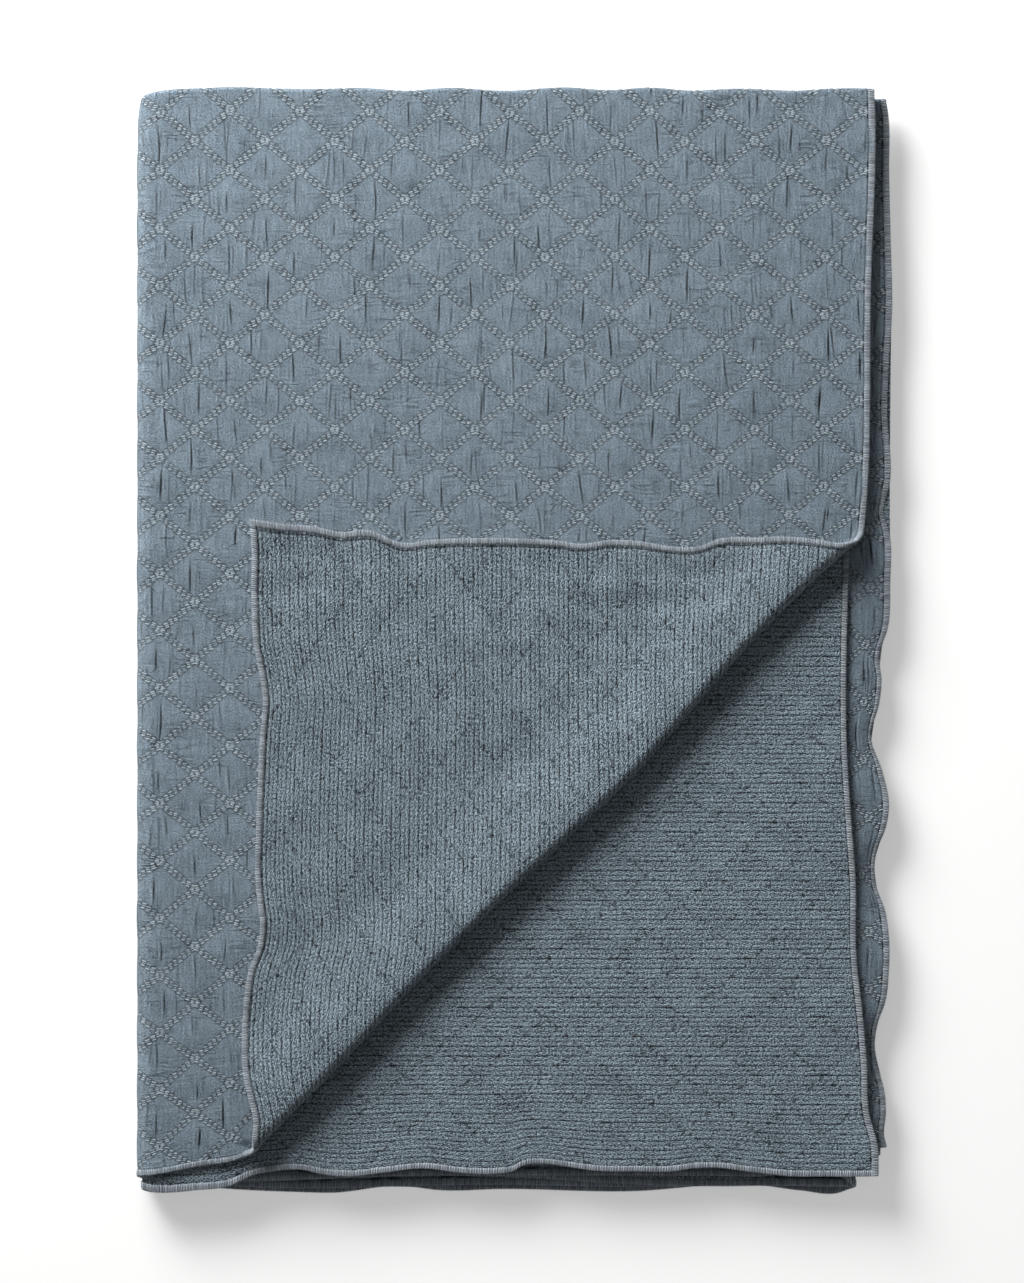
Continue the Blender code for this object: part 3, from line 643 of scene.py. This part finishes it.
def back_cloth(material):
    """The ribbed back: the inside of the folded sheet, seen on the turned-back corner and under it."""
    fine_across, fine_down = BACK_STEP
    across = lines((
        (0, FIRST, fine_across),
        (FIRST, STARTS[2], FOLD_STEP),
        (STARTS[2], STARTS[3], HIDDEN_STEP),
        (STARTS[3], STARTS[4], FOLD_STEP),
        (STARTS[4], STARTS[5], HIDDEN_STEP),
        (STARTS[5], STARTS[6], FOLD_STEP),
        (STARTS[6], WIDTH - FREE_STRIP, HIDDEN_STEP),
        (WIDTH - FREE_STRIP, WIDTH, fine_across * 2),
    ))
    down = lines((
        (0, BACK_FINE_DOWN, fine_down),
        (BACK_FINE_DOWN, HALF, BACK_HIDDEN_DOWN),
        (HALF, HALF + HAIRPIN, HAIRPIN_STEP),
        (HALF + HAIRPIN, LENGTH - BACK_FINE_DOWN, BACK_HIDDEN_DOWN),
        (LENGTH - BACK_FINE_DOWN, LENGTH, fine_down),
    ))

    def fine(u, v):
        return (u < FIRST + 0.004) & (fold_distance(u, v) > -0.006)

    u, v, faces = patchwork(across, down, (10, 24), fine)
    points = place_at(u, v, -back_height(u, v))
    return add_object("back_cloth", points, faces, u, v, np.zeros_like(u), [material])


def seen_from_above(u, v):
    """Where the stitched face shows."""
    x, y = FIRST_EDGE_X - u, LOWER_EDGE_Y + v
    uncovered = (fold_distance(u, v) < 0.004) & ((x < -0.19) | (y > 0.072))
    first = (u > LOCK_BAND) & (v > LOCK_BAND) & (u < STARTS[2]) & (v < LENGTH / 2)
    strip = (u > WIDTH - FREE_STRIP) & (u < WIDTH - LOCK_BAND) & (v > LENGTH / 2) & (v < LENGTH - LOCK_BAND)
    return first & (uncovered | (u > FIRST)) | strip


def float_stitches(material):
    """Short raised yarn floats in three rows along every line of the trellis."""
    span = int((WIDTH + LENGTH) / (HALF_WIDTH + HALF_HEIGHT)) + 80
    draw = np.random.default_rng(5)
    centres = []
    for way in (1, -1):
        line, step = np.meshgrid(np.arange(-span, span), np.arange(-span * FLOAT_STEPS, span * FLOAT_STEPS))
        line, step = line.ravel(), step.ravel() + 0.5
        a, b = line, step / FLOAT_STEPS
        if way < 0:
            a, b = b, a
        u = TRELLIS_START[0] + (a + b) * HALF_WIDTH
        v = TRELLIS_START[1] + (a - b) * HALF_HEIGHT
        inside = (u > 0) & (u < WIDTH) & (v > 0) & (v < LENGTH)
        u, v = u[inside], v[inside]
        for row in (-1, 0, 1):
            beside = u + way * row * 0.7 * MM
            centres.append(np.stack([beside, v + row * FLOAT_ROW, np.full_like(u, way)], axis=1))
    centres = np.concatenate(centres)
    centres = centres[seen_from_above(centres[:, 0], centres[:, 1])]
    count = len(centres)
    centres[:, :2] += draw.normal(0, 0.12 * MM, (count, 2))
    length = FLOAT_LENGTH * draw.uniform(0.8, 1.1, count)
    slant = -centres[:, 2] * draw.uniform(*FLOAT_SLANT, count)
    lens = np.array(FLOAT_SHAPE)
    turn = np.sign(lens[None, :, 1])
    du = lens[None, :, 0] * length[:, None]
    dv = turn * FLOAT_WIDTH / 2 + lens[None, :, 0] * (length * slant)[:, None]
    u = centres[:, 0][:, None] + du
    v = centres[:, 1][:, None] + dv
    base = face_height(centres[:, 0], centres[:, 1])[:, None]
    height = base + lens[None, :, 2] * FLOAT_HEIGHT
    u, v, height = u.ravel(), v.ravel(), height.ravel()
    points = place_at(u, v, height)
    faces = []
    for side in FLOAT_FACES:
        faces.extend((np.arange(count)[:, None] * len(lens) + np.array(side)[None]).tolist())
    tone = np.repeat(draw.uniform(0, 1, count), len(lens))
    return add_object("trellis_floats", points, faces, u, v, tone, [material])


def edge_runs():
    """The raw edges: (which edge, length), with a map from (along, inwards) to (across, down)."""
    return {
        "side": (
            (LENGTH, lambda along_, inwards: (inwards, along_)),
            (LENGTH, lambda along_, inwards: (WIDTH - inwards, along_)),
        ),
        "lower": (
            (WIDTH, lambda along_, inwards: (along_, inwards)),
            (WIDTH, lambda along_, inwards: (along_, LENGTH - inwards)),
        ),
    }


# Overlock's loop round the edge: place inwards and height, from the face to the back (mm)
LOCK_LOOP = (
    (4.4, 1.15), (2.6, 1.45), (0.5, 1.4), (-0.55, 0.85),
    (-0.55, -0.85), (0.5, -1.4), (2.6, -1.45), (4.4, -1.1),
)


def overlock(kind, material):
    """Thread loops side by side round the raw edges, over a thin core that closes the edge, painted in the
    darkest thread colour as the shade between the loops.
    """
    draw = np.random.default_rng(17 if kind == "side" else 23)
    loop = np.array(LOCK_LOOP) * MM
    all_points, all_faces, all_u, all_v, all_tone = [], [], [], [], []
    total = 0
    for length, spot in edge_runs()[kind]:
        count = int(length / LOCK_PITCH)
        at = (np.arange(count) + 0.5) * length / count + draw.normal(0, 0.06 * MM, count)
        n = len(loop)
        lean = LOCK_SLANT * (loop[:, 0] / LOCK_BAND - 0.5)
        reach = loop[None, :, 0] * draw.uniform(0.93, 1.06, count)[:, None]
        u_parts, v_parts, h_parts = [], [], []
        for side, away in THREAD_RING:
            run = at[:, None] + lean[None] + side * 2 * LOCK_THREAD
            outward = np.where(np.abs(loop[:, 1]) < 1.0 * MM, -0.8, 0)
            u, v = spot(run, reach + outward * away * LOCK_THREAD)
            height = loop[None, :, 1] + np.sign(loop[None, :, 1]) * away * LOCK_THREAD * 0.8
            u_parts.append(u)
            v_parts.append(v)
            h_parts.append(np.broadcast_to(height, u.shape))
        u = np.stack(u_parts, axis=2).ravel()
        v = np.stack(v_parts, axis=2).ravel()
        height = np.stack(h_parts, axis=2).ravel()
        sides = len(THREAD_RING)
        quads = []
        for k in range(n - 1):
            for s in range(sides):
                t = (s + 1) % sides
                quads.append((k * sides + s, k * sides + t, (k + 1) * sides + t, (k + 1) * sides + s))
        caps = [tuple(range(sides))[::-1], tuple((n - 1) * sides + s for s in range(sides))]
        base = total + np.arange(count)[:, None, None] * (n * sides)
        all_faces.extend((base + np.array(quads)[None]).reshape(-1, 4).tolist())
        all_faces.extend((base + np.array(caps)[None]).reshape(-1, sides).tolist())
        all_u.append(u)
        all_v.append(v)
        all_points.append(place_at(u, v, height))
        all_tone.append(np.repeat(draw.uniform(0, 1, count), n * sides))
        total += len(u)

        steps = int(length / CORE_STEP)
        run = np.linspace(0, length, steps + 1)
        shrink = np.array([(q, h - math.copysign(CORE_SHRINK, h)) for q, h in loop])
        run, inwards = np.meshgrid(run, np.maximum(shrink[:, 0], -0.3 * MM), indexing="ij")
        u, v = spot(run, inwards)
        height = np.broadcast_to(shrink[None, :, 1], u.shape)
        m = len(shrink)
        start = total + np.arange(steps)[:, None] * m
        for k in range(m - 1):
            cell = np.concatenate([start + k, start + k + 1, start + m + k + 1, start + m + k], axis=1)
            all_faces.extend(cell.tolist())
        all_u.append(u.ravel())
        all_v.append(v.ravel())
        all_points.append(place_at(u.ravel(), v.ravel(), height.ravel()))
        # The core painted dark, as shade between the loops
        all_tone.append(np.full(u.size, CORE_SHADE_TONE))
        total += u.size
    return add_object(
        f"overlock_{kind}", np.concatenate(all_points), all_faces, np.concatenate(all_u),
        np.concatenate(all_v), np.concatenate(all_tone), [material],
    )


class Nodes:
    """Builds a material's node tree, a node a call."""

    def __init__(self, name):
        self.material = bpy.data.materials.new(name)
        self.material.use_nodes = True
        self.tree = self.material.node_tree
        self.shader = self.tree.nodes["Principled BSDF"]

    def add(self, kind, inputs=(), **settings):
        node = self.tree.nodes.new(kind)
        for key, value in settings.items():
            setattr(node, key, value)
        for key, value in dict(inputs).items():
            self.set(node.inputs[key], value)
        return node

    def set(self, socket, value):
        if isinstance(value, bpy.types.NodeSocket):
            self.tree.links.new(value, socket)
        else:
            socket.default_value = value

    def math(self, operation, first, second=0.0, third=0.0):
        node = self.add("ShaderNodeMath", {0: first, 1: second, 2: third}, operation=operation)
        return node.outputs[0]

    def cloth(self):
        """The place on the flat cloth in millimetres, and the piece's own tone."""
        spot = self.add("ShaderNodeAttribute", attribute_name="cloth")
        split = self.add("ShaderNodeSeparateXYZ", {0: spot.outputs["Vector"]})
        across = self.math("MULTIPLY", split.outputs[0], 1000.0)
        down = self.math("MULTIPLY", split.outputs[1], 1000.0)
        return across, down, split.outputs[2]

    def noise(self, across, down, size_across, size_down, detail=2.0, shift=0.0, rough=0.5):
        """Noise whose grains measure size_across by size_down, in millimetres."""
        x = self.math("DIVIDE", across, size_across)
        y = self.math("DIVIDE", down, size_down)
        where = self.add("ShaderNodeCombineXYZ", {0: x, 1: y, 2: shift})
        made = self.add(
            "ShaderNodeTexNoise",
            {"Vector": where.outputs[0], "Scale": 1.0, "Detail": detail, "Roughness": rough},
        )
        return made.outputs[0]

    def trellis(self, across, down):
        """Distance to the nearest line of the trellis, in millimetres."""
        width, height = DIAMOND_WIDTH / MM, DIAMOND_HEIGHT / MM
        i = self.math("DIVIDE", self.math("SUBTRACT", across, TRELLIS_START[0] / MM), width)
        j = self.math("DIVIDE", self.math("SUBTRACT", down, TRELLIS_START[1] / MM), height)
        one = self.math("PINGPONG", self.math("ADD", i, j), 0.5)
        other = self.math("PINGPONG", self.math("SUBTRACT", i, j), 0.5)
        return self.math("DIVIDE", self.math("MINIMUM", one, other), math.hypot(1 / width, 1 / height))

    def lock_edge_shade(self, across, down):
        """A thin line of painted shade along the inner side of the overlocked edges, also used as a shallow
        groove in the bump.
        """
        side = self.math("MINIMUM", across, self.math("SUBTRACT", WIDTH / MM, across))
        lower = self.math("MINIMUM", down, self.math("SUBTRACT", LENGTH / MM, down))
        away = self.math("SUBTRACT", self.math("MINIMUM", side, lower), LOCK_SHADE_LINE)
        return self.ramp(self.math("ABSOLUTE", away), 0.3, 1.0, 1.0, 0.0)

    def puckers(self):
        """Troughs and ridges of the diamonds' puckers, from their distances and depths."""
        aside = self.add("ShaderNodeAttribute", attribute_name="pucker_aside")
        depth = self.add("ShaderNodeAttribute", attribute_name="pucker_depth")
        aside = self.add("ShaderNodeSeparateXYZ", {0: aside.outputs["Vector"]})
        depth = self.add("ShaderNodeSeparateXYZ", {0: depth.outputs["Vector"]})
        trough = ridge = 0.0
        for n in range(CREASES):
            away = self.math("ABSOLUTE", aside.outputs[n])
            line = self.math("MULTIPLY", self.ramp(away, 0.25, 0.95, 1.0, 0.0), depth.outputs[n])
            trough = self.math("ADD", line, trough)
            away = self.math("ABSOLUTE", self.math("SUBTRACT", aside.outputs[n], 1.9))
            line = self.math("MULTIPLY", self.ramp(away, 0.2, 1.3, 1.0, 0.0), depth.outputs[n])
            ridge = self.math("ADD", line, ridge)
        return trough, ridge

    def crease(self, noise, width):
        """A thin line where a noise passes its middle value."""
        away = self.math("ABSOLUTE", self.math("SUBTRACT", noise, 0.5))
        return self.ramp(away, 0.0, width, 1.0, 0.0)

    def ramp(self, value, low, high, to_low, to_high):
        node = self.add(
            "ShaderNodeMapRange",
            {"Value": value, "From Min": low, "From Max": high, "To Min": to_low, "To Max": to_high},
        )
        return node.outputs[0]

    def mix(self, share, first, second):
        node = self.add("ShaderNodeMix", data_type="RGBA")
        self.set(node.inputs[0], share)
        self.set(node.inputs[6], first)
        self.set(node.inputs[7], second)
        return node.outputs[2]

    def shade(self, colour, factor):
        """A colour made lighter or darker by a factor."""
        node = self.add("ShaderNodeMix", data_type="RGBA", blend_type="MULTIPLY")
        grey = self.add("ShaderNodeCombineColor", {0: factor, 1: factor, 2: factor})
        node.inputs[0].default_value = 1.0
        self.set(node.inputs[6], colour)
        self.set(node.inputs[7], grey.outputs[0])
        return node.outputs[2]

    def finish(self, colour, height, distance, roughness, sheen):
        bump = self.add("ShaderNodeBump", {"Height": height, "Strength": 1.0, "Distance": distance})
        self.set(self.shader.inputs["Base Color"], colour)
        self.set(self.shader.inputs["Normal"], bump.outputs[0])
        self.shader.inputs["Roughness"].default_value = roughness
        self.shader.inputs["Specular IOR Level"].default_value = 0.18
        self.shader.inputs["Sheen Weight"].default_value = sheen
        self.shader.inputs["Sheen Roughness"].default_value = 0.55
        self.shader.inputs["Sheen Tint"].default_value = (0.72, 0.80, 0.88, 1)
        return self.material


# Distance from the raw edges of the line of painted shade beside the overlock, in millimetres
LOCK_SHADE_LINE = 5.1

FACE_DARK = (0.040, 0.056, 0.072, 1)
FACE_LIGHT = (0.235, 0.300, 0.355, 1)
FLOAT_DARK = (0.130, 0.165, 0.190, 1)
FLOAT_LIGHT = (0.370, 0.430, 0.470, 1)
BACK_DARK = (0.014, 0.022, 0.032, 1)
BACK_LIGHT = (0.285, 0.360, 0.410, 1)
THREAD_DARK = (0.110, 0.130, 0.150, 1)
THREAD_LIGHT = (0.420, 0.465, 0.510, 1)


def face_material():
    """Fine twill in slate blue-grey yarns, puckered, with painted shade under the floats of the trellis, in
    the puckers' troughs, along fine creases and beside the overlocked edges, and a painted highlight on the
    puckers' ridges.
    """
    n = Nodes("face_twill")
    across, down, _ = n.cloth()
    off = n.trellis(across, down)
    trough, ridge = n.puckers()
    twill = n.math("SINE", n.math("MULTIPLY", n.math("ADD", across, down), 2 * math.pi / 1.7))
    yarn = n.noise(across, down, 1.15, 0.75, detail=1.0)
    slub = n.noise(across, down, 2.0, 16.0, detail=1.0, shift=3.0)
    cloud = n.noise(across, down, 34.0, 26.0, detail=2.0, shift=7.0)
    crinkle = n.noise(across, down, 17.0, 4.2, detail=2.0, shift=5.0)
    # Fine creases from a noise: a shallow groove in the bump and painted shade in the colour
    level = n.crease(n.noise(across, down, 26.0, 7.0, detail=1.0, shift=17.0), 0.030)
    patches = n.ramp(n.noise(across, down, 15.0, 15.0, detail=0.0, shift=19.0), 0.46, 0.60, 0.0, 1.0)
    level = n.math("MULTIPLY", level, patches)
    # Painted shade along the trellis lines, under the floats
    float_shade = n.ramp(off, BAND_HALF, BAND_HALF + 1.0, 1.0, 0.0)
    lock_edge_shade = n.lock_edge_shade(across, down)
    tone = n.math("ADD", n.math("MULTIPLY", yarn, 0.80), n.math("MULTIPLY", slub, 0.22))
    tone = n.math("ADD", tone, n.math("MULTIPLY", cloud, 0.14))
    tone = n.math("ADD", tone, n.math("MULTIPLY", twill, 0.035))
    colour = n.mix(n.ramp(tone, 0.42, 0.74, 0.0, 1.0), FACE_DARK, FACE_LIGHT)
    # Painted shade: under the floats, in the puckers' troughs, along the fine creases and beside the
    # overlocked edges
    dark = n.math("ADD", n.math("MULTIPLY", float_shade, 0.42), n.math("MULTIPLY", trough, 0.85))
    dark = n.math("ADD", dark, n.math("MULTIPLY", level, 0.30))
    dark = n.math("ADD", dark, n.math("MULTIPLY", lock_edge_shade, 0.45))
    # Painted highlight on the puckers' ridges, on their lit left side
    dark = n.math("SUBTRACT", n.math("MINIMUM", dark, 0.85), n.math("MULTIPLY", ridge, 0.28))
    colour = n.shade(colour, n.math("SUBTRACT", 1.0, dark))
    height = n.math("ADD", n.math("MULTIPLY", twill, 0.16), n.math("MULTIPLY", yarn, 1.15))
    height = n.math("ADD", height, n.math("MULTIPLY", slub, 0.7))
    height = n.math("ADD", height, n.math("MULTIPLY", crinkle, 1.5))
    height = n.math("ADD", height, n.math("MULTIPLY", ridge, 0.6))
    height = n.math("SUBTRACT", height, n.math("MULTIPLY", trough, 1.2))
    height = n.math("SUBTRACT", height, n.math("MULTIPLY", level, 0.7))
    height = n.math("SUBTRACT", height, n.math("MULTIPLY", lock_edge_shade, 0.6))
    return n.finish(colour, height, 0.0009, 0.92, 0.06)


def back_material():
    """Heathered yarns lying along the ribs, with painted shade in the rib valleys, at the stitched dimples
    and beside the overlocked edges, and the rib crests painted lighter than the valleys.
    """
    n = Nodes("back_ribs")
    across, down, _ = n.cloth()
    off = n.trellis(across, down)
    wobble = n.noise(across, down, 24.0, 9.0, detail=1.0, shift=2.0)
    phase = n.math("ADD", n.math("MULTIPLY", down, 2 * math.pi / 3.9), n.math("MULTIPLY", wobble, 2.4))
    rib = n.math("MULTIPLY_ADD", n.math("COSINE", phase), 0.5, 0.5)
    second = n.math("MULTIPLY_ADD", n.math("SINE", n.math("MULTIPLY", phase, 0.5)), 0.30, 0.60)
    broken = n.ramp(n.noise(across, down, 9.0, 3.0, detail=2.0, shift=8.0), 0.40, 0.60, 0.0, 1.0)
    # Painted shade in the rib valleys
    valley = n.math("MULTIPLY", n.ramp(rib, 0.02, 0.26, 1.0, 0.0), n.math("MULTIPLY", second, broken))
    slanted = n.math("ADD", down, n.math("MULTIPLY", across, 0.30))
    dash = n.noise(across, slanted, 2.3, 0.95, detail=1.0, shift=4.0, rough=0.6)
    fleck = n.noise(across, slanted, 1.25, 0.95, detail=0.0, shift=9.0)
    cloud = n.noise(across, down, 30.0, 22.0, detail=2.0, shift=6.0)
    blots = n.noise(across, down, 3.6, 3.6, detail=0.0, shift=21.0)
    # Painted shade in the stitched dimples along the trellis lines, which also dent the bump
    dots = n.math("MULTIPLY", n.ramp(off, 0.8, 2.6, 1.0, 0.0), n.ramp(blots, 0.54, 0.62, 0.0, 1.0))
    lock_edge_shade = n.lock_edge_shade(across, down)
    tone = n.math("ADD", n.math("MULTIPLY", dash, 0.62), n.math("MULTIPLY", fleck, 0.50))
    tone = n.math("ADD", tone, n.math("MULTIPLY", cloud, 0.12))
    tone = n.ramp(tone, 0.48, 0.78, 0.0, 1.0)
    # Rib crests painted lighter and valleys darker, as lit and shaded sides
    tone = n.math("ADD", tone, n.math("MULTIPLY", n.math("SUBTRACT", rib, 0.5), 0.20))
    colour = n.mix(n.ramp(tone, 0.0, 1.0, 0.0, 1.0), BACK_DARK, BACK_LIGHT)
    # Painted shade: rib valleys, stitched dimples and beside the overlocked edges
    dark = n.math("ADD", n.math("MULTIPLY", valley, 0.72), n.math("MULTIPLY", dots, 0.50))
    dark = n.math("ADD", dark, n.math("MULTIPLY", lock_edge_shade, 0.50))
    colour = n.shade(colour, n.math("SUBTRACT", 1.0, n.math("MINIMUM", dark, 0.88)))
    height = n.math("ADD", n.math("MULTIPLY", dash, 1.6), n.math("MULTIPLY", fleck, 1.0))
    height = n.math("SUBTRACT", height, n.math("MULTIPLY", dots, 0.5))
    height = n.math("SUBTRACT", height, n.math("MULTIPLY", valley, 1.0))
    height = n.math("SUBTRACT", height, n.math("MULTIPLY", lock_edge_shade, 0.6))
    return n.finish(colour, height, 0.0010, 0.95, 0.05)


def thread_material(name, dark, light):
    """Spun thread, each loop in its own tone."""
    n = Nodes(name)
    across, down, tone = n.cloth()
    fibre = n.noise(across, down, 0.4, 0.4, detail=2.0)
    share = n.math("ADD", n.math("MULTIPLY", tone, 0.6), n.math("MULTIPLY", fibre, 0.4))
    return n.finish(n.mix(share, dark, light), fibre, 0.0002, 0.85, 0.15)


# Stage
FRAME_SCALE = 0.8 * MM
FRAME_HIGH = 1283
TOP_LAYER_Z = 0.027
CAMERA_ABOVE = 5.0
SENSOR = 36.0


def floor():
    material = bpy.data.materials.new("studio_floor")
    material.use_nodes = True
    shader = material.node_tree.nodes["Principled BSDF"]
    shader.inputs["Base Color"].default_value = (0.56, 0.56, 0.56, 1)
    shader.inputs["Emission Color"].default_value = (1, 1, 1, 1)
    shader.inputs["Emission Strength"].default_value = 0.38
    shader.inputs["Roughness"].default_value = 0.8
    shader.inputs["Specular IOR Level"].default_value = 0.1
    bpy.ops.mesh.primitive_plane_add(size=12)
    plane = bpy.context.object
    plane.name = "studio_floor"
    plane.data.materials.append(material)


def add_light(name, kind, where, aim, watts, tint):
    light = bpy.data.lights.new(name, kind)
    light.energy = watts
    light.color = tint
    obj = bpy.data.objects.new(name, light)
    obj.location = where
    obj.rotation_euler = (Vector(aim) - Vector(where)).to_track_quat("-Z", "Y").to_euler()
    bpy.context.scene.collection.objects.link(obj)
    return light


def studio():
    floor()
    world = bpy.data.worlds.new("studio")
    world.use_nodes = True
    world.node_tree.nodes["Background"].inputs[0].default_value = (1, 1, 1, 1)
    world.node_tree.nodes["Background"].inputs[1].default_value = 0.24
    bpy.context.scene.world = world
    key = add_light("key", "SUN", (-1.1, 1.7, 0.95), (0, 0, 0), 3.1, (1.0, 0.995, 0.985))
    key.angle = math.radians(28)
    window = add_light("window", "AREA", (-0.9, 1.45, 0.8), (0, 0.1, 0), 62, (1.0, 0.99, 0.98))
    window.shape = "RECTANGLE"
    window.size, window.size_y = 1.4, 0.8

    camera = bpy.data.cameras.new("camera")
    camera.sensor_fit = "AUTO"
    camera.sensor_width = SENSOR
    camera.lens = SENSOR * CAMERA_ABOVE / (FRAME_HIGH * FRAME_SCALE)
    camera.clip_end = 50
    obj = bpy.data.objects.new("camera", camera)
    obj.location = (0, 0, CAMERA_ABOVE + TOP_LAYER_Z)
    bpy.context.scene.collection.objects.link(obj)
    bpy.context.scene.camera = obj
    bpy.context.scene.view_settings.view_transform = "Standard"


def main():
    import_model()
    studio()
    face = face_cloth(face_material())
    back = back_cloth(back_material())
    floats = float_stitches(thread_material("float_yarn", FLOAT_DARK, FLOAT_LIGHT))
    edge = thread_material("overlock_thread", THREAD_DARK, THREAD_LIGHT)
    side = overlock("side", edge)
    lower = overlock("lower", edge)
    for piece, slot in (
        (face, "cotton"), (back, "cotton"), (floats, "cotton"),
        (side, "overlock_thread"), (lower, "overlock_thread"),
    ):
        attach(piece, "root")
        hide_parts("coverlet")


main()
